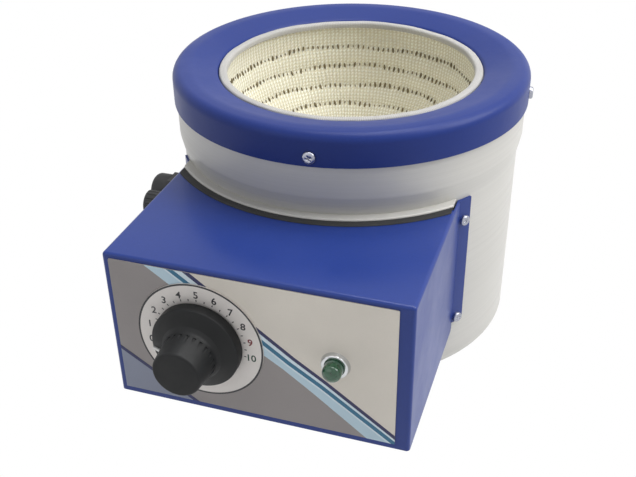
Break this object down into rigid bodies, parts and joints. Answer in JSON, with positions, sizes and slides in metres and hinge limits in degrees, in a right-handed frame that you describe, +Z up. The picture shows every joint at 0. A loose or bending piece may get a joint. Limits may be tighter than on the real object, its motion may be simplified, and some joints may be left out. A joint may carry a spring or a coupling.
{
  "type": "heating mantle",
  "caption": "Round heating mantle for a round-bottomed flask: spun body with a dished lid and knitted heating nest, and a raised control box with a dial knob and an indicator lamp.",
  "frame": {"origin": "centre of the footprint on the bench, under the middle of the bounding box", "axes": "+Z up, -Y towards the controls, +X to the right of someone facing the controls"},
  "size_m": [0.1944, 0.2756, 0.15],
  "materials": {
    "body_paint": "satin powder coat, light grey",
    "lid_paint": "satin powder coat, lavender blue",
    "box_paint": "satin powder coat, slate blue",
    "zinc_steel": "zinc-plated sheet",
    "nest_cloth": "knitted glass-fibre cloth, cream",
    "resistance_alloy": "resistance wire layer, oxidised",
    "mineral_wool": "mineral wool, loose felt",
    "ceramic": "unglazed ceramic",
    "brass_parts": "bright brass",
    "panel_film": "printed film, satin",
    "dial_face": "white enamelled plate",
    "dark_plastic": "moulded, black",
    "plated_steel": "nickel-plated",
    "knob_plastic": "moulded, black, half gloss",
    "white_plastic": "moulded, white",
    "green_lens": "clear green moulding",
    "bright_trim": "polished",
    "fuse_glass": "clear tube",
    "black_rubber": "moulded, black",
    "brown_lead": "silicone sleeve, brown",
    "blue_lead": "silicone sleeve, blue",
    "green_lead": "silicone sleeve, green"
  },
  "bodies": {
    "mantle": {"base_plate": "zinc_steel", "base_screw_1": "plated_steel", "base_screw_2": "plated_steel", "base_screw_3": "plated_steel", "base_screw_4": "plated_steel", "box_base": "box_paint", "box_cover": "box_paint", "box_screw_1": "plated_steel", "box_screw_2": "plated_steel", "box_screw_3": "plated_steel", "box_screw_4": "plated_steel", "bush_nut": "plated_steel", "dial_plate": "dial_face", "earth_lead": "green_lead", "earth_stud": "brass_parts", "element_terminal": "ceramic", "flange_screw_1": "plated_steel", "flange_screw_2": "plated_steel", "flange_screw_3": "plated_steel", "flange_screw_4": "plated_steel", "foot_1": "black_rubber", "foot_2": "black_rubber", "foot_3": "black_rubber", "foot_4": "black_rubber", "front_label": "panel_film", "fuse_holder": "dark_plastic", "fuse_nut": "dark_plastic", "gland_body": "dark_plastic", "gland_cap": "dark_plastic", "gland_nut": "dark_plastic", "grommet": "black_rubber", "heating_element": "resistance_alloy", "insulation": "mineral_wool", "lamp_bezel": "bright_trim", "lamp_body": "dark_plastic", "lamp_lens": "green_lens", "lamp_nut": "dark_plastic", "lid_ring": "lid_paint", "lid_screw_1": "plated_steel", "lid_screw_2": "plated_steel", "lid_screw_3": "plated_steel", "lid_screw_4": "plated_steel", "live_lead": "brown_lead", "nest_fabric": "nest_cloth", "nest_rim": "nest_cloth", "neutral_lead": "blue_lead", "outer_shell": "body_paint", "regulator": "dark_plastic", "support_bowl": "zinc_steel", "terminal_block": "white_plastic", "top_seal": "black_rubber"},
    "dial_knob": {"knob": "knob_plastic", "knob_pointer": "white_plastic", "spindle": "plated_steel"},
    "fuse_drawer": {"fuse_cap": "dark_plastic", "fuse_link": "fuse_glass"}
  },
  "joints": [
    {"name": "knob_turn", "type": "hinge", "parent": "mantle", "child": "dial_knob", "pos_m": [-0.0269, -0.12455, 0.0659], "axis": [0, 1, 0], "range_deg": [0, 200]},
    {"name": "fuse_cap_turn", "type": "hinge", "parent": "mantle", "child": "fuse_drawer", "pos_m": [-0.0775, -0.04739, 0.095], "axis": [1, 0, 0], "range_deg": [0, 60]}
  ]
}
